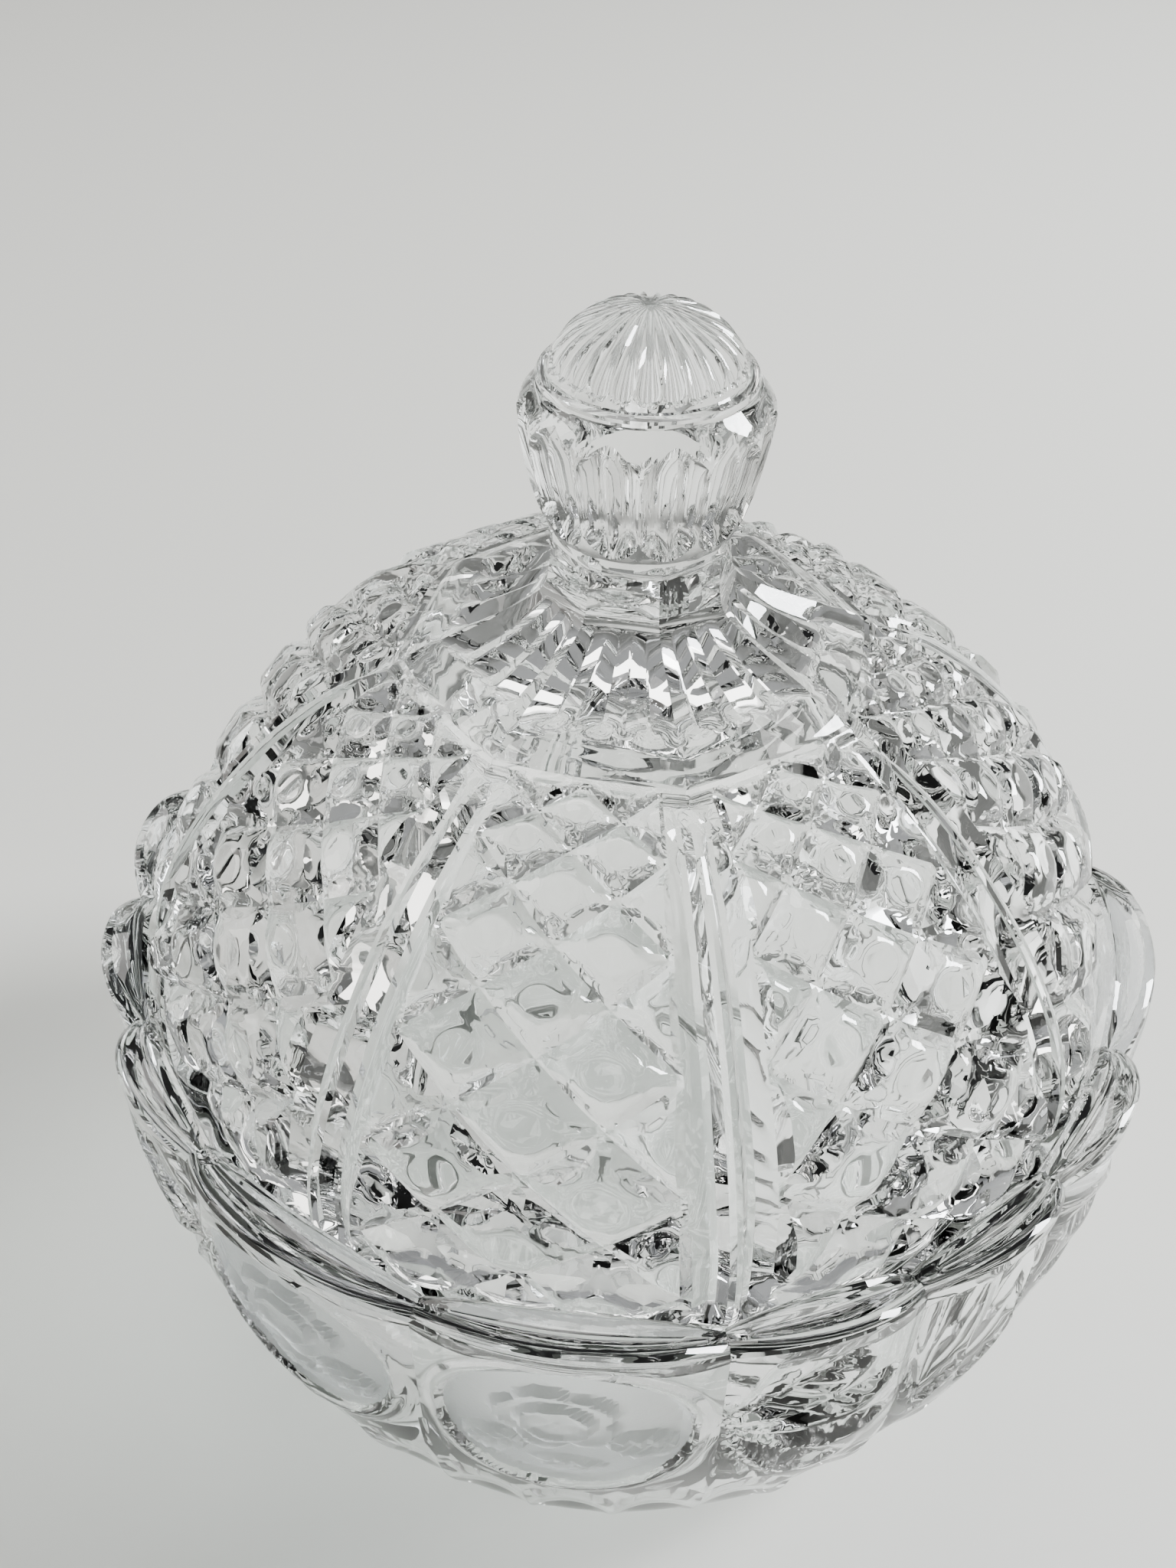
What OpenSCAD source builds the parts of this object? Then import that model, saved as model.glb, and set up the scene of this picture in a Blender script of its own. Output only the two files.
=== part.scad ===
// Covered candy dish in clear pressed glass.
// Two pieces: a scalloped bowl with an inner seat, and an eight-panelled domed lid whose
// knob is pressed in one with it. The lid lifts straight off its seat.

/* [Bowl] */
// Radius at the tips of the rim scallops
rim_r = 73.6; // [60:0.2:90]
// How far the notches between the scallops cut in
notch_in = 2.8; // [0:0.1:5]
// How far the rim dips at each notch
notch_drop = 4; // [0:0.2:8]
// Height of the rim above the table
rim_z = 76; // [60:0.2:90]
// Radius of the flat foot
foot_r = 45; // [30:0.5:60]
// Thickness of glass under the cavity
floor_t = 8; // [4:0.5:14]
// Depth of the seat below the rim
seat_drop = 9; // [4:0.2:14]
// Radius of the upright wall round the seat
seat_r = 66.4; // [50:0.2:80]
// Radius of the cavity at the seat
cavity_r = 60.4; // [45:0.2:75]

/* [Wall pattern] */
// Radius of each round medallion face
medal_r = 14; // [8:0.5:20]
// How deep the medallion face is sunk
medal_in = 0.7; // [0:0.1:2]
// Radius of the tool that cuts the upright flutes
flute_r = 3.2; // [1:0.1:6]
// Number of petals round the foot
petal_n = 24; // [12:1:36]

/* [Lid] */
// Flat-to-flat half width at the lid's lower edge
lid_a = 61.4; // [50:0.2:75]
// Gap between the lid and its seat
seat_gap = 0.1; // [0.05:0.05:1]
// Height of a lattice boss as a share of its half width
boss_h = 0.25; // [0.05:0.01:0.5]
// How far each rib stands out past the corner
rib_h = 0.9; // [0:0.1:3]

/* [Knob] */
// Largest radius of the knob
knob_r = 14.7; // [10:0.1:20]
// Height of the knob's tip above the table
top_z = 163.4; // [130:0.2:190]
// Number of flutes round the knob
knob_n = 24; // [12:2:36]

/* [Hidden] */
$fn = 96;
glass = [0.86, 0.92, 0.93, 0.45];
seat_z = rim_z - seat_drop;
lid_z = seat_z + seat_gap;
lid_turn = 8.6;
// Each third of the bowl: two wide medallion lobes, then three narrow fluted ones
notches = [0, 30, 50, 70, 90];
lobes = [[15, 15], [40, 10], [60, 10], [80, 10], [105, 15]];

// Half width of the lid's panels against height, from the lower edge to the shoulder
lid_side = [
    [lid_a, lid_z], [lid_a + 0.6, 72], [lid_a + 0.7, 76], [61.6, 80.4], [59.4, 87.4],
    [56.0, 93.9], [52.2, 99.8], [48.1, 104.9], [44.0, 109.4], [39.7, 113.1],
    [35.6, 115.8], [31.4, 117.9], [26, 120.2], [20.5, 122.8], [15.6, 125.6], [12.0, 128.4]];
// Lattice rows: half width, height, column pitch, half height of a boss, tilt of the wall
rows = [
    [31.9, 117.3, 4.8, 3.9, 68], [35.6, 115.6, 5.4, 4.4, 63], [39.7, 112.9, 6.0, 5.1, 57],
    [44.0, 109.2, 6.7, 5.8, 51], [48.1, 104.4, 7.3, 6.1, 47], [52.2, 99.6, 8.2, 6.7, 41],
    [56.0, 93.7, 8.8, 7.2, 34], [59.4, 87.2, 9.4, 7.4, 25], [61.6, 80.2, 10.0, 7.0, 12],
    [62.1, 73.0, 10.2, 5.8, 3]];

module prism(side, k) {
    rotate([0, 0, 45 * k])
        rotate([90, 0, 0])
            linear_extrude(height = 160, center = true)
                polygon(concat(side, [for (i = [len(side) - 1:-1:0]) [-side[i][0], side[i][1]]]));
}

// A little wider and higher than the panels
function round_side(p) = [p[0] * 1.045, p[1] + (p[1] > lid_z ? 0.4 : 0)];

module lid_dome() {
    intersection() {
        // Blunts the corners under the ribs
        rotate_extrude()
            polygon(concat([[0, lid_z]], [for (p = lid_side) round_side(p)], [[0, 128.8]]));
        prism(lid_side, 0);
        prism(lid_side, 1);
        prism(lid_side, 2);
        prism(lid_side, 3);
    }
}

module boss(w, v) {
    linear_extrude(height = boss_h * w, scale = 0.3)
        polygon([[w, 0], [0, v], [-w, 0], [0, -v]]);
}

module half_boss(w, v) {
    linear_extrude(height = boss_h * w, scale = 0.3)
        polygon([[0, v], [-w, 0], [0, -v]]);
}

module panel_bosses() {
    for (i = [0:len(rows) - 1]) {
        row = rows[i];
        for (c = (i % 2 == 0) ? [0] : [-1, 1])
            translate([c * row[2], -row[0] + 0.3, row[1]])
                rotate([90 - row[4], 0, 0])
                    boss(row[2] * 0.95, row[3] * 0.95);
        if (i % 2 == 0)
            for (m = [0, 1])
                mirror([m, 0, 0])
                    translate([row[2] * 2, -row[0] + 0.3, row[1]])
                        rotate([90 - row[4], 0, 0])
                            half_boss(row[2] * 0.95, row[3] * 0.95);
    }
}

module rib() {
    // A raised ridge down the corner, narrow at the shoulder and wide at the edge
    rotate([0, 0, -1.7])
        rotate_extrude(angle = 3.4)
            polygon([
                [58, lid_z + 2], [lid_a * 1.045 + rib_h, lid_z + 2], [lid_a * 1.05 + rib_h, 74],
                [61.6 * 1.045 + rib_h, 80.4], [59.4 * 1.045 + rib_h, 87.4], [56.0 * 1.045 + rib_h, 93.9],
                [52.2 * 1.045 + rib_h, 99.8], [48.1 * 1.045 + rib_h, 104.9], [44.0 * 1.045 + rib_h, 109.4],
                [39.7 * 1.045 + rib_h, 113.1], [35.6 * 1.045 + rib_h, 115.8], [32.4, 118.1],
                [32.4, 114], [40, 108], [50, 96], [56, 84]]);
}

module lid_cavity() {
    rotate_extrude()
        polygon([
            [0, lid_z - 2], [57, lid_z - 2], [57, 70], [56.7, 75], [55.4, 81.5], [52.6, 88],
            [49.2, 93.8], [45.4, 99], [41.2, 103.4], [36.4, 107.2], [31, 110.2], [24.5, 112.4],
            [17, 113.8], [8.5, 114.6], [0, 114.6]]);
}

module neck() {
    translate([0, 0, 126])
        rotate([0, 0, 22.5])
            cylinder(h = 10.6, r = 10.9, $fn = 8);
    translate([0, 0, 122])
        rotate([0, 0, 22.5])
            cylinder(h = 7.4, r1 = 19.2, r2 = 11.1, $fn = 8);
    translate([0, 0, 134.2])
        rotate([0, 0, 22.5])
            cylinder(h = 2, r = 11.4, $fn = 8);
}

module knob() {
    difference() {
        rotate_extrude()
            polygon([
                [0, 134.6], [10.3, 134.6], [11.0, 138.2], [12.1, 142.6], [13.2, 146], [14.2, 149.2],
                [knob_r, 151.6], [13.4, 154.2], [12.1, 155.2], [11.9, 156.3], [11.2, 157.2], [10.5, 158.7],
                [9.2, 160.5], [7.2, 161.9], [4.6, 162.9], [2, 163.3], [0.4, top_z], [0, top_z]]);
        for (k = [0:knob_n - 1])
            rotate([0, 0, 360 / knob_n * k])
                translate([knob_r + 0.2, 0, 146.2])
                    rotate([0, 14, 0])
                        rotate([0, 0, 45])
                            cylinder(h = 9.5, r1 = 1.7, r2 = 1.9, center = true, $fn = 4);
        for (k = [0:knob_n - 1])
            rotate([0, 0, 360 / knob_n * (k + 0.5)])
                translate([6.2, 0, 163.5])
                    rotate([0, 128, 0])
                        cylinder(h = 9, r1 = 0.5, r2 = 1.0, center = true, $fn = 12);
    }
}

// Points along one lobe of the rim, centred on c degrees and h degrees to each side
function lobe_pts(c, h) = [
    for (i = [0:9])
        let (a = c - h + 2 * h * i / 10 - 90, r = rim_r - notch_in * pow(abs(i / 5 - 1), 2.2))
            [r * cos(a), r * sin(a)]];

module bowl_plan() {
    polygon([
        for (t = [0, 120, 240])
            for (l = lobes)
                for (q = lobe_pts(t + l[0], l[1]))
                    q]);
}

// Radius of the outer wall at a height
function wall_r(z) = lookup(z, [[4, 51.8], [8, 55.4], [12, 58.2], [16.5, 61], [21, 63.3], [26, 65.4],
    [31, 67], [38, 69], [45.5, 70.8], [53, 72], [60, 72.7], [68, 73.2]]);

module bowl_blank() {
    intersection() {
        linear_extrude(height = rim_z)
            bowl_plan();
        rotate([0, 0, 7])
            rotate_extrude()
                polygon([
                    [0, -1], [foot_r - 1, -1], [foot_r - 0.2, 0], [foot_r + 3, 1.2], [51.8, 4],
                    [55.4, 8], [58.2, 12], [61, 16.5], [63.3, 21], [65.4, 26], [67, 31], [69, 38],
                    [70.8, 45.5], [72, 53], [72.7, 60], [73.2, 68], [rim_r + 0.4, rim_z - 3],
                    [rim_r - 1.3, rim_z + 1], [0, rim_z + 1]]);
    }
}

module bowl_cavity() {
    rotate_extrude()
        polygon([
            [0, floor_t], [34, floor_t], [41, floor_t + 1.6], [46, floor_t + 5.6], [50.5, 21], [54, 29],
            [57, 38], [59.2, 47], [60.1, 55], [cavity_r, seat_z], [seat_r, seat_z],
            [seat_r + 0.4, rim_z - 1], [seat_r + 1.4, rim_z + 1], [0, rim_z + 1]]);
}

module medallions() {
    for (t = [0, 120, 240])
        for (a = [-15, 15])
            rotate([0, 0, t + a - 90])
                translate([wall_r(56), 0, 56])
                    rotate([0, 97, 0])
                        translate([0, 0, -medal_in - 1.4])
                            cylinder(h = 12, r = medal_r);
}

module flutes() {
    for (t = [0, 120, 240])
        for (a = [51.5, 57.2, 62.8, 68.5])
            rotate([0, 0, t + a - 90])
                translate([wall_r(52) + flute_r * 0.66, 0, 52])
                    rotate([0, 8, 0])
                        cylinder(h = 34, r = flute_r, center = true, $fn = 24);
}

module fans() {
    // Slanted mitre cuts in the lobes beside the flutes, fanning out from the medallions
    for (t = [0, 120, 240])
        for (m = [-1, 1])
            for (j = [0:4])
                rotate([0, 0, t + 60 + m * 20 - 90])
                    translate([wall_r(43 + j * 5.6) + 0.4, 0, 43 + j * 5.6])
                        rotate([m * (40 + j * 9), 8, 0])
                            rotate([0, 0, 45])
                                cylinder(h = 17, r = 1.7, center = true, $fn = 4);
}

module petals() {
    for (k = [0:petal_n - 1])
        rotate([0, 0, 360 / petal_n * (k + 0.5)])
            translate([70, 0, 25])
                rotate([0, 21, 0])
                    cylinder(h = 22, r = 5.2, center = true, $fn = 24);
}

module bowl() {
    color(glass)
        difference() {
            bowl_blank();
            bowl_cavity();
            medallions();
            flutes();
            fans();
            petals();
            for (t = [0, 120, 240])
                for (a = notches)
                    rotate([0, 0, t + a - 90])
                        translate([50, 0, rim_z])
                            rotate([90, 0, 90])
                                linear_extrude(height = 40)
                                    polygon([[-9, 0.1], [0, -notch_drop], [9, 0.1]]);
            // Shallow hollow under the foot
            translate([0, 0, -1])
                cylinder(h = 2.2, r = foot_r - 6);
        }
}

module lid() {
    color(glass)
        rotate([0, 0, lid_turn])
            difference() {
                union() {
                    lid_dome();
                    for (k = [0:7])
                        rotate([0, 0, 45 * k])
                            panel_bosses();
                    for (k = [0:7])
                        rotate([0, 0, 45 * k + 22.5])
                            rib();
                    neck();
                    knob();
                }
                lid_cavity();
            }
}

bowl();
lid();
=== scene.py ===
"""Covered candy dish in clear pressed glass: a scalloped bowl and a domed lid with a fluted knob."""

import math

import bmesh
import bpy
import numpy as np
from mathutils import Matrix, Vector


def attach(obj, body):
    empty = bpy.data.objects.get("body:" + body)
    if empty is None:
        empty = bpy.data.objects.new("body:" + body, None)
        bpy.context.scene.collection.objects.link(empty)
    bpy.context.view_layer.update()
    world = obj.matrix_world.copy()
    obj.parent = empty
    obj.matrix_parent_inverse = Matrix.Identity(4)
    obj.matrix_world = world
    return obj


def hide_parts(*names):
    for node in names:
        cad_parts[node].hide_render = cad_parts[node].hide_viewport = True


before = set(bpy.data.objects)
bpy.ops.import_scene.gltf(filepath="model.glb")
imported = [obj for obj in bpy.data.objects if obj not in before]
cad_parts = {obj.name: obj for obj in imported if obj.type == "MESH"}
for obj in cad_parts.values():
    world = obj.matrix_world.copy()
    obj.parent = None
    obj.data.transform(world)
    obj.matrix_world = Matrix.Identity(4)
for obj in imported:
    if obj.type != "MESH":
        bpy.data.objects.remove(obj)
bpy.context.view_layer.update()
MM = 0.001
scene = bpy.context.scene


# ---------------------------------------------------------------- camera

def place_camera():
    """The camera stands to the right of the place where two medallions meet, and looks down at the lid."""
    heading, pitch, roll = (math.radians(a) for a in (-21.068, 40.535, 0.873))
    level = math.cos(pitch)
    ahead = Vector((math.sin(heading) * level, math.cos(heading) * level, -math.sin(pitch)))
    right = Vector((math.cos(heading), -math.sin(heading), 0))
    up = right.cross(ahead)
    right, up = (
        math.cos(roll) * right + math.sin(roll) * up,
        math.cos(roll) * up - math.sin(roll) * right,
    )
    data = bpy.data.cameras.new("dish_camera")
    data.sensor_width, data.lens = 36.0, 36.91
    data.clip_start, data.clip_end = 0.01, 20
    camera = bpy.data.objects.new("dish_camera", data)
    scene.collection.objects.link(camera)
    camera.matrix_world = Matrix.Translation((0.05364, -0.15579, 0.23639)) @ Matrix(
        (right, up, -ahead)
    ).transposed().to_4x4()
    scene.camera = camera


place_camera()


# ---------------------------------------------------------------- shape helpers

def curve_through(table, at):
    """Smooth curve through rows of (place, value, value...), read at the places asked for."""
    table = np.asarray(table, float)
    place, values = table[:, 0], table[:, 1:]
    slope = np.gradient(values, place, axis=0)
    at = np.clip(np.asarray(at, float), place[0], place[-1])
    i = np.clip(np.searchsorted(place, at) - 1, 0, len(place) - 2)
    step = (place[i + 1] - place[i])[..., None]
    s = ((at - place[i])[..., None]) / step
    return (
        (2 * s**3 - 3 * s**2 + 1) * values[i]
        + (s**3 - 2 * s**2 + s) * step * slope[i]
        + (3 * s**2 - 2 * s**3) * values[i + 1]
        + (s**3 - s**2) * step * slope[i + 1]
    )


def soft_step(x, low, high):
    t = np.clip((x - low) / (high - low), 0, 1)
    return t * t * (3 - 2 * t)


def ring(radius, angle, z):
    """Points in millimetres; angles in degrees, counted from the front (-Y) towards +X."""
    a = np.radians(angle)
    radius, a, z = np.broadcast_arrays(radius, a, z)
    return np.stack([radius * np.sin(a), -radius * np.cos(a), z], -1)


def sector_mesh(name, points, flips, frost=None):
    """A strip of the wall from one axis point to the other. flips says which way each square is split."""
    rows, columns = points.shape[:2]
    mesh = bpy.data.meshes.new(name)
    index = np.arange(rows * columns).reshape(rows, columns)
    a, b, c, d = index[:-1, :-1], index[:-1, 1:], index[1:, 1:], index[1:, :-1]
    one = np.where(flips[..., None], np.stack([a, b, d], -1), np.stack([a, b, c], -1))
    two = np.where(flips[..., None], np.stack([b, c, d], -1), np.stack([a, c, d], -1))
    faces = np.concatenate([one.reshape(-1, 3), two.reshape(-1, 3)])
    mesh.from_pydata((points.reshape(-1, 3) * MM).tolist(), [], faces.tolist())
    if frost is not None:
        layer = mesh.attributes.new("frost", "FLOAT", "POINT")
        layer.data.foreach_set("value", frost.reshape(-1).astype(np.float32))
    return mesh


# ---------------------------------------------------------------- lid

PANEL = 45.0
CELL = 10  # mesh squares along each side of a lattice cell
LID_TURN = 8.6
KNOB_TWIST = 1.9
RAY = 15.0  # degrees from one ray, flute or crown petal to the next
# place of each mesh column in half a rib band: 1 on the corner, 0 on the panel's border line
BAND_PLACES = (1.0, 0.88, 0.72, 0.55, 0.36, 0.16)
BAND = len(BAND_PLACES)
PANEL_COLUMNS = 4 * CELL + 2 * BAND
TOP_ROW, LOW_ROW = -1.0, 9.78
CORNER = 0.4028  # half width of a panel at its corners, as a share of its distance from the axis
PANEL_BULGE = 0.34  # how far a panel follows a round wall instead of a flat one
RELIEF = 0.32  # depth of the lattice as a share of its column pitch
SEAT_CLEAR_R, SEAT_CLEAR_Z = 65.8, 75.0  # the lid stays inside this radius up to this height
TOP_TABLE = 0.14  # height of the last row over the shoulder, as a share of its pitch
# lattice row, half width of the panel, height, column pitch
LID_ROWS = [
    (-1, 28.3, 118.9, 4.3), (0, 31.9, 117.4, 4.8), (1, 35.6, 115.6, 5.4), (2, 39.7, 112.9, 6.0),
    (3, 44.0, 109.2, 6.7), (4, 48.1, 104.7, 7.4), (5, 52.2, 99.6, 8.2), (6, 56.0, 93.7, 8.8),
    (7, 59.2, 87.2, 9.4), (8, 61.3, 80.2, 10.0), (9, 61.9, 72.8, 10.2), (9.78, 61.4, 67.1, 10.2),
]
# place along the curve, radius, height
LID_HOLLOW = [
    (0, 57.0, 67.1), (1, 57.0, 70), (2, 56.7, 75), (3, 55.4, 81.5), (4, 52.6, 88), (5, 49.2, 93.8),
    (6, 45.4, 99), (7, 41.2, 103.4), (8, 36.4, 107.2), (9, 31, 110.2), (10, 24.5, 112.4),
    (11, 17, 113.8), (12, 8.5, 114.5), (13, 0, 114.6),
]
# place along the curve, half width across flats, height
SHOULDER = [
    (0, 28.3, 118.9), (1, 26.0, 120.2), (2, 23.6, 121.4), (3, 21.0, 122.6), (4, 18.4, 123.9),
    (5, 16.0, 125.2), (6, 13.6, 126.6), (7, 11.7, 127.9), (8, 10.7, 129.3), (9, 10.3, 131.4),
    (10, 10.1, 135.0),
]
# height, radius
KNOB_SIDE = [
    (135.0, 10.3), (135.4, 10.7), (136.2, 10.9), (137.0, 11.0), (139.0, 12.0), (142.6, 13.2),
    (146.0, 14.0), (149.0, 14.5), (151.5, 14.65), (152.6, 14.4), (153.6, 13.7), (155.0, 12.4),
]
# place along the curve, radius, height
CROWN = [
    (0, 12.4, 155.0), (0.5, 12.55, 155.5), (1, 12.35, 156.0), (1.5, 11.7, 156.2), (2, 11.3, 156.5),
    (3, 10.95, 157.6), (4, 10.2, 159.0), (5, 8.9, 160.5), (6, 7.1, 161.8), (7, 4.9, 162.7),
    (8, 2.5, 163.2), (9, 0, 163.4),
]


def lattice_height(column, row, pitch):
    """Relief of the diamond lattice, sunk to points at the stars, with leaf-shaped facets between them."""
    c0, r0 = np.floor(column), np.floor(row)
    best = None
    for dc in (0, 1):
        for dr in (0, 1):
            even = (c0 + dc + r0 + dr) % 2 == 0
            p, q = np.abs(column - c0 - dc), np.abs(row - r0 - dr)
            away = np.where(even, p + q, 9.0)
            best = (away, p, q) if best is None else tuple(
                np.where(away < best[0], new, old) for new, old in zip((away, p, q), best)
            )
    away, p, q = best
    edge = 1 - away
    leaf = 1 - np.clip(np.abs(q - p) / 0.82, 0, 1) ** 2
    steep = 2.3 * edge
    gentle = 0.52 * leaf + 0.80 * edge
    return RELIEF * pitch * np.minimum(np.minimum(steep, gentle), 0.92)


def panel_columns():
    """For each mesh column of one panel: lattice column, and place in the rib band (0 border, 1 corner)."""
    band = np.array(BAND_PLACES)
    lattice = np.concatenate([np.zeros(BAND), np.linspace(0, 4, 4 * CELL + 1), np.full(BAND, 4.0)])
    rib = np.concatenate([band, np.zeros(4 * CELL + 1), band[::-1]])
    return lattice, rib


def lattice_rows():
    """Lattice row of each mesh row, from the lid's edge up to the shoulder."""
    steps = np.arange(math.floor(LOW_ROW * CELL), TOP_ROW * CELL - 1, -1) / CELL
    return np.concatenate([[LOW_ROW], steps[steps < LOW_ROW - 0.02]])


def lid_lattice(rows):
    """Points of one panel over the lattice rows, with a rib band on each side."""
    half, z, pitch = np.moveaxis(curve_through(LID_ROWS, rows), -1, 0)
    run = curve_through(LID_ROWS, rows - 0.02) - curve_through(LID_ROWS, rows + 0.02)
    length = np.hypot(run[..., 0], run[..., 1])
    out, lift = run[..., 1] / length, -run[..., 0] / length
    lattice, rib = panel_columns()
    half, z, pitch, out, lift, row = (v[:, None] for v in (half, z, pitch, out, lift, rows))
    corner = CORNER * half
    side = np.where(lattice < 2, -1, 1)
    across = np.where(rib > 0, side * (2 * pitch + rib * (corner - 2 * pitch)), (lattice - 2) * pitch)
    base = half - PANEL_BULGE * across**2 / (2 * half)
    relief = lattice_height(lattice[None, :], row, pitch)
    table = TOP_TABLE * pitch
    # Each rib band has a proud border line, a hollow flute and a round ridge on the corner
    border = 0.55 * np.exp(-((rib / 0.13) ** 2))
    flute = -1.5 * np.exp(-(((rib - 0.46) / 0.20) ** 2))
    crest = 0.75 * soft_step(rib, 0.66, 0.98)
    shown = soft_step(row, -0.7, 1.2) * soft_step(row, LOW_ROW, 9.2)
    edge_line = ((rib == 0) & ((lattice == 0) | (lattice == 4)))[None, :]
    relief = np.where(rib[None, :] > 0, 0.0, relief)
    relief = np.where((rib > 0)[None, :] | edge_line, (border + flute + crest)[None, :] * shown, relief)
    relief = relief * soft_step(row, LOW_ROW, 9.55)
    join = soft_step(row, -0.6, TOP_ROW)
    relief = relief * (1 - join) + table * join
    radius = np.hypot(base + relief * out, across)
    angle = np.degrees(np.arctan2(across, base + relief * out))
    angle[:, 0], angle[:, -1] = -PANEL / 2, PANEL / 2
    return radius, angle, z + relief * lift


def lid_panel():
    """One panel from the axis inside, down the hollow, round the edge and up to the neck."""
    radius, angle, height = lid_lattice(lattice_rows())
    # Keeps clear of the wall round the bowl's seat
    radius = np.minimum(radius, SEAT_CLEAR_R + np.clip(height - SEAT_CLEAR_Z, 0, 99) * 1.2)
    edge_radius, edge_angle = radius[0], angle[0]
    _, inner_radius, edge_z = LID_HOLLOW[0]
    height[0] += 0.4
    hollow = curve_through(LID_HOLLOW, np.linspace(13, 0, 20))
    blocks = [ring(hollow[:, :1], edge_angle[None, :], hollow[:, 1:])]
    for share in (0.05, 0.5, 0.94):
        blocks.append(ring(inner_radius + share * (edge_radius - inner_radius), edge_angle, edge_z)[None])
    blocks.append(ring(radius, angle, height))

    # Shoulder: a flat lens facet above each panel, then rays up to the eight-sided neck
    even = (np.arange(PANEL_COLUMNS + 1) / PANEL_COLUMNS - 0.5) * PANEL
    lens_steps, ray_steps = np.linspace(0.8, 2.3, 5), np.linspace(2.5, 7.6, 16)
    t = np.concatenate([[0.12, 0.3, 0.5], lens_steps, ray_steps, [8.2, 9.0, 9.6, 10.0]])
    half, level = np.moveaxis(curve_through(SHOULDER, t), -1, 0)
    mix = soft_step(t, 0.0, 2.2)[:, None]
    phi = angle[-1][None, :] * (1 - mix) + even[None, :] * mix
    flat = half[:, None] / np.cos(np.radians(phi))
    start = half[:, None] * (radius[-1] / radius[-1][PANEL_COLUMNS // 2])[None, :]
    side = start * (1 - mix) + flat * mix
    ray = np.abs(((even / RAY + 0.5) % 1) * 2 - 1)[None, :]
    depth = 1.2 * soft_step(t, 2.35, 3.1) * soft_step(t, 7.4, 4.4)
    groove = depth[:, None] * (1 - ray)
    line = 0.22 * (soft_step(t, 0.0, 0.3) * soft_step(t, 0.8, 0.35))[:, None]
    line = line + 0.18 * (soft_step(t, 2.0, 2.35) * soft_step(t, 2.8, 2.45))[:, None]
    rise = TOP_TABLE * LID_ROWS[0][3] * np.clip(1 - t / 6.0, 0, 1)[:, None]
    lift = level[:, None] + 0.9 * rise - 0.94 * groove - line
    blocks.append(ring(side + 0.4 * rise - 0.35 * groove, phi, lift))
    return blocks


def knob_blocks():
    """The knob over the whole quarter: three arches of two flutes each, a girdle and six crown petals."""
    columns = 2 * PANEL_COLUMNS
    even = (np.arange(columns + 1) / PANEL_COLUMNS - 0.5) * PANEL
    flute = (even + PANEL / 2) / RAY
    arch = (flute / 2) % 1
    in_flute = flute % 1
    top = 150.6 + 3.0 * (1 - np.abs(2 * arch - 1) ** 1.6)
    bottom = 140.9 - 2.7 * np.sin(np.pi * arch) ** 0.8
    angle = even + KNOB_TWIST
    hollow = 1 - np.abs(2 * in_flute - 1) ** 1.7
    margin = soft_step(np.abs(2 * arch - 1), 1.0, 0.86)
    blocks = []
    # Collar over the neck, then the knob's round underside
    octagon = 1 / np.cos(np.radians((even + PANEL / 2) % PANEL - PANEL / 2))
    for z in (135.2, 135.6, 136.1, 136.6):
        collar = np.interp(z, *zip(*KNOB_SIDE)) * (0.6 * octagon + 0.4) * 0.98
        blocks.append(ring(collar, even + KNOB_TWIST * 0.5, z)[None])
    for s in np.linspace(0, 1, 6)[1:]:
        z = 136.8 + (bottom - 136.8) * s
        blocks.append(ring(curve_through(KNOB_SIDE, z)[..., 0], angle, z)[None])
    for s in np.linspace(0, 1, 19)[1:]:
        z = bottom + (top - bottom) * s
        depth = 2.3 * np.minimum(1, 1.3 * np.sin(np.pi * s) ** 0.5) * hollow * margin
        blocks.append(ring(curve_through(KNOB_SIDE, z)[..., 0] - depth, angle, z)[None])
    for s in np.linspace(0, 1, 6)[1:]:
        z = top + (154.95 - top) * s
        blocks.append(ring(curve_through(KNOB_SIDE, z)[..., 0], angle, z)[None])
    petal = ((flute + 0.4) % 1)
    bowl = 1 - np.abs(2 * petal - 1) ** 2
    rounded = 0.75 * (1 - np.sqrt(np.clip(1 - (2 * petal - 1) ** 2, 0, 1)))
    for t in np.concatenate([np.linspace(0, 2, 7), np.linspace(2, 9, 20)[1:]]):
        start = 2.55 + rounded
        sunk = 0.62 * bowl * soft_step(t, start, start + 0.5) * soft_step(t, 8.9, 6.0)
        r, z = curve_through(CROWN, t)
        blocks.append(ring(np.maximum(r - 0.7 * sunk, 0), angle, z - 0.8 * sunk)[None])
    return blocks


def lid_mesh():
    panel = lid_panel()
    first = sum(len(block) for block in panel[:4])
    panel = np.concatenate(panel)
    turn = math.radians(PANEL)
    spin = np.array([[math.cos(turn), -math.sin(turn), 0], [math.sin(turn), math.cos(turn), 0], [0, 0, 1]])
    lower = np.concatenate([panel, (panel @ spin.T)[:, 1:]], axis=1)
    points = np.concatenate([lower] + knob_blocks())
    flips = np.zeros((len(points) - 1, points.shape[1] - 1), bool)
    # Split each lattice square along the valley that crosses its cell
    lattice, _ = panel_columns()
    middle = (lattice[1:] + lattice[:-1]) / 2
    rows = lattice_rows()
    row_middle = (rows[1:] + rows[:-1]) / 2
    odd = (np.floor(middle)[None, :] + np.floor(row_middle)[:, None]) % 2 == 1
    flips[first : first + len(row_middle)] = np.concatenate([odd, odd], axis=1)
    return sector_mesh("lid_quarter", points, flips)


# ---------------------------------------------------------------- bowl

# start and end of each scallop of the third, and its mesh columns
LOBES = ((0, 30, 54), (30, 50, 34), (50, 70, 34), (70, 90, 34), (90, 120, 54))
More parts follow.
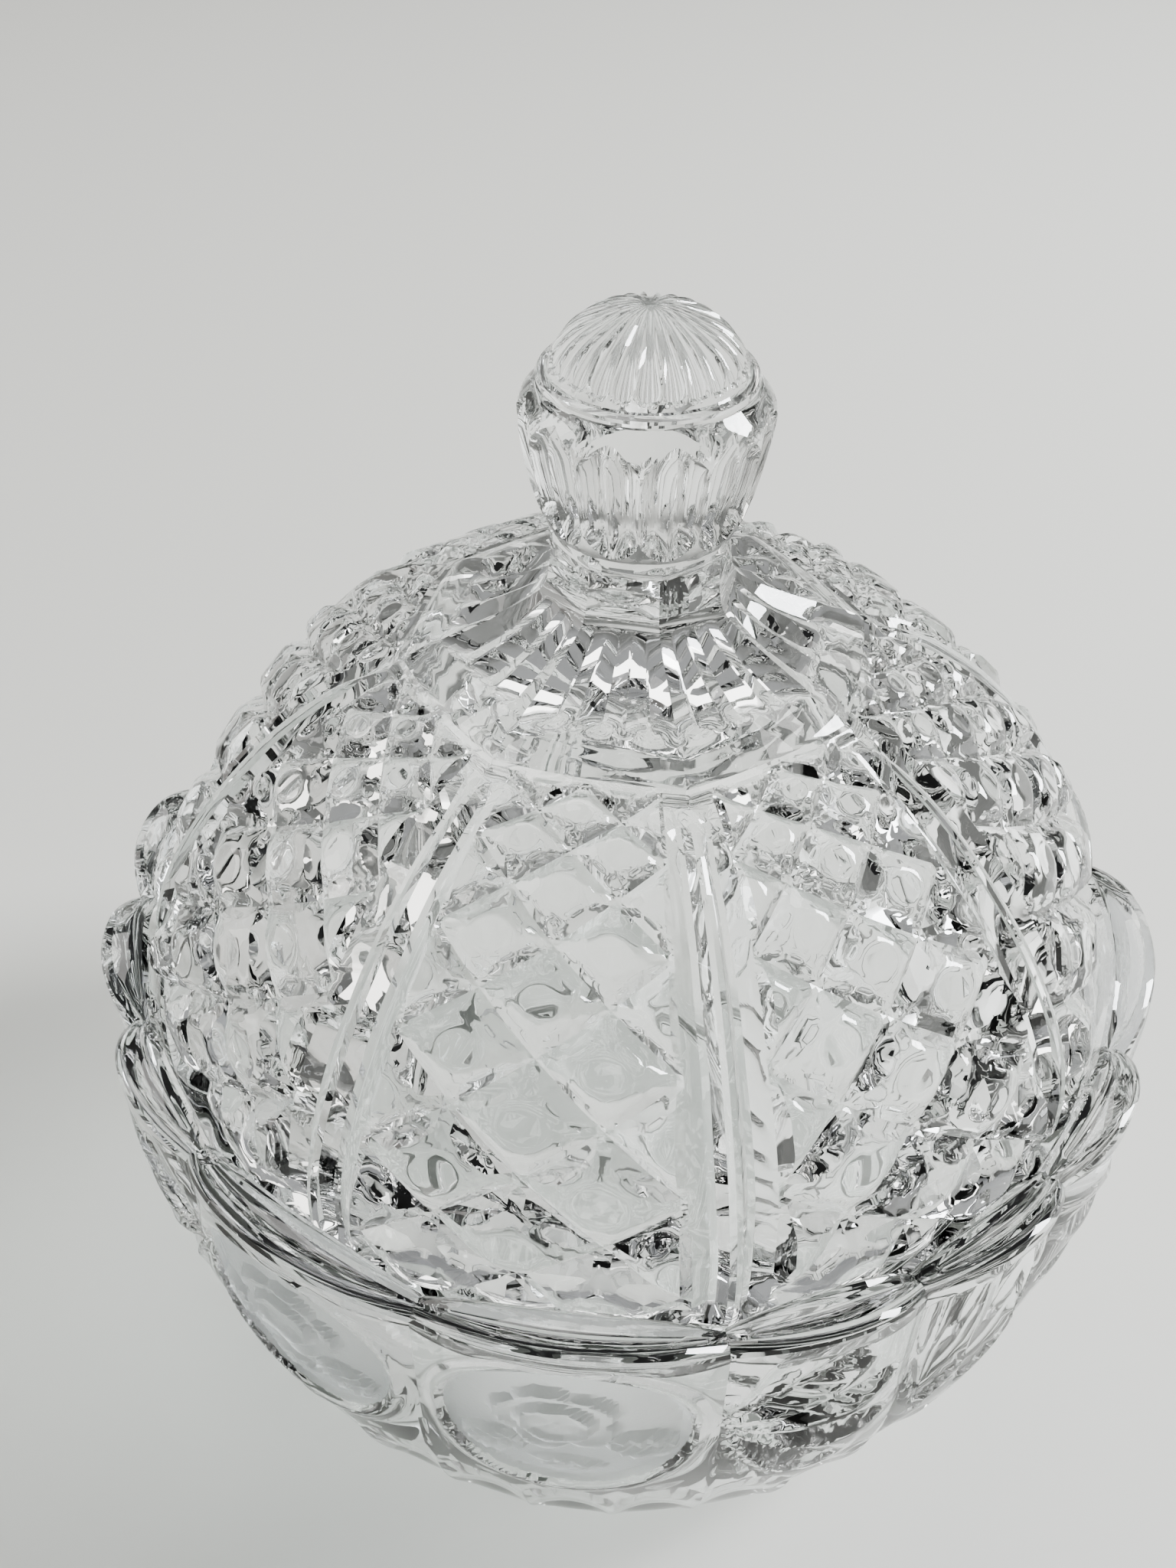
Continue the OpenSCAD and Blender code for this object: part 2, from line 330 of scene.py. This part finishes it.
# height, radius of the outer wall
WALL = [
    (0.0, 45.4), (1.2, 48.8), (4, 52.8), (8, 56.6), (12, 59.4), (16.5, 62.0), (21, 64.0), (26, 65.9),
    (31, 67.4), (38, 69.4), (45.5, 71.2), (53, 72.4), (60, 73.1), (68, 73.4), (76, 73.5),
]
RIM_Z = 76.0
SEAT_Z = 67.0
MEDALLION_Z = 57.0
MEDALLION_R = 15.2


def rim_height(place):
    """The rim waves: high over each scallop, low at the notches."""
    return RIM_Z - 3.9 * np.abs(place) ** 2.4


def lobe_of(angle):
    """Centre, half width and place (-1 to 1) of the scallop at each angle of the third."""
    centre, half = np.zeros_like(angle), np.zeros_like(angle)
    for start, end, _ in LOBES:
        here = (angle >= start - 1e-9) & (angle <= end + 1e-9)
        centre[here], half[here] = (start + end) / 2, (end - start) / 2
    return centre, half, (angle - centre) / half


def leaf(u, v, x, y, turn, length, width):
    """Raised leaf with a midrib and slanting veins; returns its height."""
    c, s = math.cos(math.radians(turn)), math.sin(math.radians(turn))
    along, across = (u - x) * c + (v - y) * s, -(u - x) * s + (v - y) * c
    reach = np.clip(1 - (along / length) ** 2, 0, 1)
    inside = reach * width - np.abs(across)
    veins = 0.16 * np.cos((along - np.abs(across) * 0.9) * 2 * math.pi / 2.4)
    midrib = 0.3 * soft_step(np.abs(across), 0.5, 0.0) * (inside > 0)
    return soft_step(inside, -0.2, 0.8) * (0.75 + veins) - midrib


def medallion_relief(u, v, side):
    """Height of the blossom and leaves on the sunk round, and distance inside the frosted round."""
    inside = MEDALLION_R - np.hypot(u, v)
    sunk = -1.3 * soft_step(inside, -0.9, 0.9) + 0.35 * np.exp(-(((inside + 1.5) / 0.9) ** 2))
    u = u * side
    bloom_r = np.hypot(u - 1.0, (v - 3.4) * 1.12)
    turn = np.arctan2(v - 3.4, u - 1.0)
    round_petal = np.abs(np.cos(2.5 * turn)) ** 0.7
    petals = 8.6 * (0.82 + 0.18 * round_petal)
    outer = soft_step(petals - bloom_r, -0.1, 1.3) * (1.0 - 0.55 * soft_step(petals - bloom_r, 0.8, 3.0))
    outer = outer * (0.55 + 0.45 * round_petal)
    heart = soft_step(5.0 - bloom_r, -0.2, 0.9) * (0.8 - 0.5 * soft_step(5.0 - bloom_r, 0.6, 2.2))
    leaves = np.maximum(
        leaf(u, v, -9.6, -3.2, 22, 5.6, 3.4), leaf(u, v, 9.0, -5.6, -24, 5.8, 3.2)
    )
    leaves = np.maximum(leaves, leaf(u, v, -0.5, -9.6, 8, 5.2, 2.4) * 0.7)
    relief = np.maximum(outer + heart, np.where(leaves > 0, leaves, 0))
    return sunk + 1.25 * relief * soft_step(inside, 0.0, 1.5), inside


def fan_relief(u, v, side):
    """Four pointed blades that fan out from beside the medallion, lightly feathered."""
    u = u * side + 13.0
    v = v - 55.0
    reach, turn = np.hypot(u, v), np.degrees(np.arctan2(v, u))
    blade = turn / 30.0
    inside = np.abs(blade % 1 - 0.5) * 2
    length = np.clip((reach - 1.5) / 22.0, 0, 1)
    width = np.sqrt(np.clip(4 * length * (1 - length), 0, 1))
    cut = np.clip(width - inside, 0, 1)
    feather = 0.12 * np.abs(((reach - inside * 5.0) / 3.2) % 1 * 2 - 1)
    here = soft_step(np.abs(turn), 74, 60)
    return -(1.9 * cut + feather * soft_step(cut, 0.0, 0.3)) * here


def flute_relief(place, z):
    """Three upright lens flutes with sharp ridges, pointed at the foot."""
    flute = (place + 1) * 1.5
    inside = (flute % 1) * 2 - 1
    middle = np.abs(np.floor(np.clip(flute, 0, 2.999)) - 1)
    low = 31.0 + 6.0 * middle
    width = soft_step(z, low, low + 20)
    cut = np.clip(width - np.abs(inside), 0, 1)
    return -2.0 * np.sqrt(cut)


def foot_petal_relief(angle, z):
    """A ring of round-topped hollow petals under the pattern, and a second ring of small ones below."""
    petal = (angle / 10.0) % 1 * 2 - 1
    top = 38.5 - 5.5 * petal**2
    long_cut = (1 - petal**2) * soft_step(z, top, top - 2.2) * soft_step(z, 11, 24)
    small = ((angle / 10.0 + 0.5) % 1) * 2 - 1
    low_top = 15 - 5 * small**2
    low_cut = (1 - small**2) * soft_step(z, low_top, low_top - 2) * soft_step(z, 0.8, 4)
    return -1.7 * long_cut - 1.0 * low_cut


def wall_block(angle, z):
    """Outer wall of the bowl with its whole pattern: points, frost and plain radius."""
    base = curve_through(WALL, z)[..., 0]
    centre, half, place = lobe_of(angle)
    notch = 2.8 * np.abs(place) ** 2.2 * (0.12 + 0.88 * soft_step(z, 26, 64)) * soft_step(z, 2, 16)
    around = np.radians(angle - centre) * base
    side = np.where(centre < 60, -1.0, 1.0)
    picture, inside = medallion_relief(around, z - MEDALLION_Z, side)
    wide = half > 12
    middle = ~wide & (np.abs(centre - 60) < 1)
    below_rim = rim_height(place) - z
    upper = soft_step(z, 36, 41) * soft_step(below_rim, 2.6, 5.0)
    cuts = np.where(middle, flute_relief(place, z), fan_relief(around, z, -side)) * upper
    relief = np.where(wide, picture * soft_step(below_rim, 2.2, 3.0), cuts)
    relief = relief + foot_petal_relief(angle, z)
    frost = np.where(wide, np.minimum(inside, below_rim - 2.6), -9.0)
    return ring(base - notch + relief, angle, z), frost, base - notch


def bowl_mesh():
    """The bowl's sector, a third of a turn: from the middle of the foot, up the wall and down inside."""
    angle = np.concatenate([np.linspace(s, e, n + 1)[:-1] for s, e, n in LOBES] + [np.array([120.0])])
    blocks, frosts = [], []

    def plain(radius, z):
        blocks.append(ring(radius, angle, z)[None])
        frosts.append(np.full((1, len(angle)), -9.0))

    hollow = ((0, 1.3), (13, 1.25), (26, 1.15), (37.5, 1.0), (39.3, 0.7), (40.2, 0.1))
    for r, z in hollow + ((41.0, 0.0), (44.5, 0.0)):
        plain(r, z)
    _, _, place = lobe_of(angle)
    rim = rim_height(place)
    lower = np.repeat(np.linspace(0.25, 40, 46)[:-1, None], len(angle), axis=1)
    upper = 40 + np.linspace(0, 1, 74)[:, None] * (rim - 1.0 - 40)[None, :]
    z = np.concatenate([lower, upper])
    wall, frost, plain_radius = wall_block(np.broadcast_to(angle, z.shape), z)
    blocks.append(wall)
    frosts.append(frost)
    outer = plain_radius[-1]
    for inset, drop in ((0.3, 0.4), (0.9, 0.08), (1.6, 0.0)):
        plain(outer - inset, rim - drop)
    for share in (0.3, 0.6, 0.85):
        plain((outer - 1.6) * (1 - share) + 67.8 * share, rim - 0.5 * math.sin(math.pi * share))
    for r, drop in ((67.8, 0.05), (67.2, 0.6), (66.8, 1.6)):
        plain(r, rim - drop)
    for r, z in ((66.6, 69.5), (66.6, 67.7), (66.2, SEAT_Z), (63.5, SEAT_Z), (60.9, SEAT_Z)):
        plain(r, z)
    inner = [
        (0, 60.4, 66.5), (1, 60.1, 55), (2, 59.2, 47), (3, 57.0, 38), (4, 54.0, 29), (5, 50.5, 21),
        (6, 46.0, 13.6), (7, 40, 9.5), (8, 33, 8.2), (9, 22, 8.0), (10, 11, 8.0), (11, 0, 8.0),
    ]
    for r, z in curve_through(inner, np.linspace(0, 11, 18)):
        plain(r, z)
    points, frost = np.concatenate(blocks), np.concatenate(frosts)
    flips = np.zeros((len(points) - 1, points.shape[1] - 1), bool)
    return sector_mesh("bowl_third", points, flips, frost)


# ---------------------------------------------------------------- repeat round the axis

def repeat_tree():
    """Geometry Nodes that set equal copies of a pressed sector round the axis and give them their glass."""
    tree = bpy.data.node_groups.new("pressed_sectors", "GeometryNodeTree")
    face = tree.interface
    face.new_socket("Geometry", in_out="INPUT", socket_type="NodeSocketGeometry")
    copies = face.new_socket("Sectors", in_out="INPUT", socket_type="NodeSocketInt")
    copies.default_value, copies.min_value = 4, 1
    start = face.new_socket("Turn", in_out="INPUT", socket_type="NodeSocketFloat")
    start.subtype = "ANGLE"
    face.new_socket("Glass", in_out="INPUT", socket_type="NodeSocketMaterial")
    face.new_socket("Geometry", in_out="OUTPUT", socket_type="NodeSocketGeometry")
    node, link = tree.nodes.new, tree.links.new
    given, result = node("NodeGroupInput"), node("NodeGroupOutput")
    line = node("GeometryNodeMeshLine")
    line.inputs["Offset"].default_value = (0, 0, 0)
    link(given.outputs["Sectors"], line.inputs["Count"])
    index = node("GeometryNodeInputIndex")
    step = node("ShaderNodeMath")
    step.operation = "DIVIDE"
    step.inputs[0].default_value = 2 * math.pi
    link(given.outputs["Sectors"], step.inputs[1])
    turn = node("ShaderNodeMath")
    turn.operation = "MULTIPLY_ADD"
    link(index.outputs[0], turn.inputs[0])
    link(step.outputs[0], turn.inputs[1])
    link(given.outputs["Turn"], turn.inputs[2])
    euler = node("ShaderNodeCombineXYZ")
    link(turn.outputs[0], euler.inputs["Z"])
    rotation = node("FunctionNodeEulerToRotation")
    link(euler.outputs[0], rotation.inputs[0])
    place = node("GeometryNodeInstanceOnPoints")
    link(line.outputs["Mesh"], place.inputs["Points"])
    link(given.outputs["Geometry"], place.inputs["Instance"])
    link(rotation.outputs[0], place.inputs["Rotation"])
    real = node("GeometryNodeRealizeInstances")
    link(place.outputs["Instances"], real.inputs["Geometry"])
    glass = node("GeometryNodeSetMaterial")
    link(real.outputs["Geometry"], glass.inputs["Geometry"])
    link(given.outputs["Glass"], glass.inputs["Material"])
    link(glass.outputs["Geometry"], result.inputs["Geometry"])
    return tree


ETCHED_FROM = 1.1  # millimetres inside the frosted round where its paler glass begins


def pressed_piece(name, sector, tree, values, body, node, crease, frosted=None):
    """Repeats a sector, closes its seams and makes it the piece that stands for a CAD node."""
    holder = bpy.data.objects.new(name + "_sector", sector)
    scene.collection.objects.link(holder)
    repeat = holder.modifiers.new("sectors", "NODES")
    repeat.node_group = tree
    for item in tree.interface.items_tree:
        if item.item_type == "SOCKET" and item.in_out == "INPUT" and item.name in values:
            repeat[item.identifier] = values[item.name]
    holder.update_tag()
    graph = bpy.context.evaluated_depsgraph_get()
    made = holder.evaluated_get(graph)
    mesh = bpy.data.meshes.new_from_object(made, preserve_all_data_layers=True, depsgraph=graph)
    bpy.data.objects.remove(holder)
    work = bmesh.new()
    work.from_mesh(mesh)
    bmesh.ops.remove_doubles(work, verts=work.verts, dist=2e-6)
    bmesh.ops.dissolve_degenerate(work, edges=work.edges, dist=1e-6)
    bmesh.ops.recalc_face_normals(work, faces=work.faces)
    frost = work.verts.layers.float.get("frost")
    for face in work.faces:
        etched = frosted is not None and min(vert[frost] for vert in face.verts) > ETCHED_FROM
        face.material_index = int(etched)
    open_edges = sum(1 for e in work.edges if len(e.link_faces) != 2)
    volume = round(work.calc_volume() * 1e6, 1)
    print(name, "faces", len(work.faces), "open edges", open_edges, "volume cm3", volume)
    work.to_mesh(mesh)
    work.free()
    mesh.name = name
    mesh.materials.clear()
    mesh.materials.append(values["Glass"])
    if frosted is not None:
        mesh.materials.append(frosted)
    mesh.shade_smooth()
    mesh.set_sharp_from_angle(angle=math.radians(crease))
    piece = bpy.data.objects.new(name, mesh)
    scene.collection.objects.link(piece)
    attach(piece, body)
    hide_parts(node)
    return piece


# ---------------------------------------------------------------- glass

def float_socket(group, name, way, value=0.0):
    socket = group.interface.new_socket(name, in_out=way, socket_type="NodeSocketFloat")
    if way == "INPUT":
        socket.default_value = value
    return socket


def polish_group():
    """Fire polish of pressed glass: faint waves from the mould and a few handling smears."""
    group = bpy.data.node_groups.new("fire_polish", "ShaderNodeTree")
    float_socket(group, "Wave Scale", "INPUT", 60)
    float_socket(group, "Smear Scale", "INPUT", 30)
    float_socket(group, "Smear Amount", "INPUT", 0.03)
    float_socket(group, "Smear", "OUTPUT")
    float_socket(group, "Height", "OUTPUT")
    node, link = group.nodes.new, group.links.new
    given, result = node("NodeGroupInput"), node("NodeGroupOutput")
    place = node("ShaderNodeTexCoord")
    wave = node("ShaderNodeTexNoise")
    wave.inputs["Detail"].default_value = 2.0
    link(place.outputs["Object"], wave.inputs["Vector"])
    link(given.outputs["Wave Scale"], wave.inputs["Scale"])
    smear = node("ShaderNodeTexNoise")
    smear.inputs["Detail"].default_value = 5.0
    smear.inputs["Distortion"].default_value = 0.6
    link(place.outputs["Object"], smear.inputs["Vector"])
    link(given.outputs["Smear Scale"], smear.inputs["Scale"])
    band = node("ShaderNodeMapRange")
    band.interpolation_type = "SMOOTHSTEP"
    band.inputs["From Min"].default_value = 0.45
    band.inputs["From Max"].default_value = 0.75
    link(smear.outputs["Fac"], band.inputs["Value"])
    link(given.outputs["Smear Amount"], band.inputs["To Max"])
    link(band.outputs["Result"], result.inputs["Smear"])
    link(wave.outputs["Fac"], result.inputs["Height"])
    return group


def frost_group():
    """Acid frost on the medallions: where it lies, and its fine grain."""
    group = bpy.data.node_groups.new("acid_frost", "ShaderNodeTree")
    float_socket(group, "Inside", "INPUT", -9)
    float_socket(group, "Edge Softness", "INPUT", 0.35)
    float_socket(group, "Grain Scale", "INPUT", 2600)
    float_socket(group, "Mask", "OUTPUT")
    float_socket(group, "Grain", "OUTPUT")
    node, link = group.nodes.new, group.links.new
    given, result = node("NodeGroupInput"), node("NodeGroupOutput")
    place = node("ShaderNodeTexCoord")
    fringe = node("ShaderNodeTexNoise")
    fringe.inputs["Scale"].default_value = 900
    link(place.outputs["Object"], fringe.inputs["Vector"])
    shift = node("ShaderNodeMath")
    shift.operation = "MULTIPLY_ADD"
    shift.inputs[1].default_value = 0.5
    link(fringe.outputs["Fac"], shift.inputs[0])
    link(given.outputs["Inside"], shift.inputs[2])
    mask = node("ShaderNodeMapRange")
    mask.interpolation_type = "SMOOTHSTEP"
    link(shift.outputs[0], mask.inputs["Value"])
    link(given.outputs["Edge Softness"], mask.inputs["From Max"])
    grain = node("ShaderNodeTexNoise")
    grain.inputs["Detail"].default_value = 3.0
    link(place.outputs["Object"], grain.inputs["Vector"])
    link(given.outputs["Grain Scale"], grain.inputs["Scale"])
    link(mask.outputs["Result"], result.inputs["Mask"])
    link(grain.outputs["Fac"], result.inputs["Grain"])
    return group


def let_lamps_through(tree, shader, tint):
    """Lamps shine through the glass to the table instead of casting a solid shadow."""
    node, link = tree.nodes.new, tree.links.new
    clear = node("ShaderNodeBsdfTransparent")
    clear.inputs["Color"].default_value = tint
    path = node("ShaderNodeLightPath")
    mix = node("ShaderNodeMixShader")
    out = node("ShaderNodeOutputMaterial")
    link(path.outputs["Is Shadow Ray"], mix.inputs[0])
    link(shader.outputs[0], mix.inputs[1])
    link(clear.outputs[0], mix.inputs[2])
    link(mix.outputs[0], out.inputs["Surface"])


def pressed_glass(name, polish, tint, frost=None):
    """Clear pressed glass. With frost, it turns rough and grainy along the edge of each frosted round."""
    material = bpy.data.materials.new(name)
    material.use_nodes = True
    tree = material.node_tree
    tree.nodes.clear()
    node, link = tree.nodes.new, tree.links.new
    shader = node("ShaderNodeBsdfPrincipled")
    shader.inputs["Base Color"].default_value = tint
    shader.inputs["Transmission Weight"].default_value = 1.0
    shader.inputs["IOR"].default_value = 1.51
    finish = node("ShaderNodeGroup")
    finish.node_tree = polish
    bump = node("ShaderNodeBump")
    bump.inputs["Strength"].default_value = 0.08
    bump.inputs["Distance"].default_value = 0.0006
    link(finish.outputs["Height"], bump.inputs["Height"])
    if frost is None:
        link(finish.outputs["Smear"], shader.inputs["Roughness"])
        link(bump.outputs["Normal"], shader.inputs["Normal"])
    else:
        field = node("ShaderNodeAttribute")
        field.attribute_name = "frost"
        etch = node("ShaderNodeGroup")
        etch.node_tree = frost
        link(field.outputs["Fac"], etch.inputs["Inside"])
        rough = node("ShaderNodeMath")
        rough.operation = "MULTIPLY_ADD"
        rough.inputs[1].default_value = 0.6
        link(etch.outputs["Mask"], rough.inputs[0])
        link(finish.outputs["Smear"], rough.inputs[2])
        link(rough.outputs[0], shader.inputs["Roughness"])
        stipple = node("ShaderNodeMath")
        stipple.operation = "MULTIPLY"
        link(etch.outputs["Mask"], stipple.inputs[0])
        link(etch.outputs["Grain"], stipple.inputs[1])
        grain = node("ShaderNodeBump")
        grain.inputs["Strength"].default_value = 0.5
        grain.inputs["Distance"].default_value = 0.0001
        link(stipple.outputs[0], grain.inputs["Height"])
        link(bump.outputs["Normal"], grain.inputs["Normal"])
        link(grain.outputs["Normal"], shader.inputs["Normal"])
    let_lamps_through(tree, shader, (0.56, 0.575, 0.57, 1))
    return material


def frosted_glass(frost):
    """The etched rounds: the same glass, scattering and paler, with a fine grain."""
    material = bpy.data.materials.new("acid_frosted_glass")
    material.use_nodes = True
    tree = material.node_tree
    tree.nodes.clear()
    node, link = tree.nodes.new, tree.links.new
    shader = node("ShaderNodeBsdfPrincipled")
    shader.inputs["Base Color"].default_value = (0.90, 0.92, 0.92, 1)
    shader.inputs["Transmission Weight"].default_value = 0.62
    shader.inputs["IOR"].default_value = 1.51
    shader.inputs["Roughness"].default_value = 0.55
    etch = node("ShaderNodeGroup")
    etch.node_tree = frost
    etch.inputs["Inside"].default_value = 9
    grain = node("ShaderNodeBump")
    grain.inputs["Strength"].default_value = 0.4
    grain.inputs["Distance"].default_value = 0.0001
    link(etch.outputs["Grain"], grain.inputs["Height"])
    link(grain.outputs["Normal"], shader.inputs["Normal"])
    let_lamps_through(tree, shader, (0.52, 0.53, 0.53, 1))
    return material


# ---------------------------------------------------------------- table and light

def table_top():
    """A plain pale table."""
    size = 3.0
    mesh = bpy.data.meshes.new("table_top")
    corners = [(-size, -size, 0), (size, -size, 0), (size, size, 0), (-size, size, 0)]
    mesh.from_pydata(corners, [], [(0, 1, 2, 3)])
    material = bpy.data.materials.new("pale_paint")
    material.use_nodes = True
    shader = material.node_tree.nodes["Principled BSDF"]
    shader.inputs["Base Color"].default_value = (0.46, 0.455, 0.425, 1)
    shader.inputs["Roughness"].default_value = 0.62
    mesh.materials.append(material)
    table = bpy.data.objects.new("table_top", mesh)
    scene.collection.objects.link(table)


def soft_box(name, where, size, power, colour):
    """A large soft lamp that faces the dish."""
    data = bpy.data.lights.new(name, "AREA")
    data.shape, data.size, data.size_y = "RECTANGLE", size[0], size[1]
    data.energy, data.color = power, colour
    lamp = bpy.data.objects.new(name, data)
    scene.collection.objects.link(lamp)
    lamp.location = where
    lamp.rotation_euler = (Vector((0, 0, 0.07)) - Vector(where)).to_track_quat("-Z", "Y").to_euler()


def room_light():
    """A bright ceiling over darker walls, so that the cut edges read."""
    world = bpy.data.worlds.new("studio")
    scene.world = world
    world.use_nodes = True
    tree = world.node_tree
    node, link = tree.nodes.new, tree.links.new
    background = tree.nodes["Background"]
    place = node("ShaderNodeTexCoord")
    split = node("ShaderNodeSeparateXYZ")
    ramp = node("ShaderNodeValToRGB")
    link(place.outputs["Generated"], split.inputs[0])
    link(split.outputs["Z"], ramp.inputs["Fac"])
    # The room behind the camera is dimmer than the window side
    dim = node("ShaderNodeMapRange")
    dim.inputs["From Min"].default_value = -0.8
    dim.inputs["From Max"].default_value = 0.6
    dim.inputs["To Min"].default_value = 0.6
    link(split.outputs["Y"], dim.inputs["Value"])
    shade = node("ShaderNodeVectorMath")
    shade.operation = "SCALE"
    link(ramp.outputs["Color"], shade.inputs[0])
    link(dim.outputs["Result"], shade.inputs["Scale"])
    link(shade.outputs[0], background.inputs["Color"])
    stops = (
        (0.0, (0.33, 0.335, 0.32)), (0.28, (0.36, 0.365, 0.35)),
        (0.50, (0.66, 0.67, 0.67)), (1.0, (0.92, 0.94, 0.97)),
    )
    while len(ramp.color_ramp.elements) < len(stops):
        ramp.color_ramp.elements.new(0.5)
    for stop, (at, colour) in zip(ramp.color_ramp.elements, stops):
        stop.position, stop.color = at, (*colour, 1)
    background.inputs["Strength"].default_value = 0.56


def main():
    polish, frost = polish_group(), frost_group()
    clear = pressed_glass("clear_pressed_glass", polish, (0.985, 0.995, 0.99, 1))
    etched = pressed_glass("clear_and_frosted_glass", polish, (0.985, 0.995, 0.99, 1), frost)
    tree = repeat_tree()
    pressed_piece(
        "candy_bowl", bowl_mesh(), tree, {"Sectors": 3, "Turn": 0.0, "Glass": etched},
        "bowl", "bowl", 24, frosted_glass(frost)
    )
    pressed_piece(
        "candy_lid", lid_mesh(), tree, {"Sectors": 4, "Turn": math.radians(LID_TURN), "Glass": clear},
        "lid", "lid", 15
    )
    table_top()
    room_light()
    soft_box("window_box", (1.0, 0.6, 0.85), (0.4, 0.6), 76, (0.94, 0.97, 1.0))
    soft_box("ceiling_box", (-0.3, 0.7, 1.3), (1.0, 0.8), 15, (1.0, 0.99, 0.96))
    soft_box("left_box", (-1.2, -0.3, 0.6), (0.5, 1.0), 6, (1.0, 0.97, 0.92))


main()
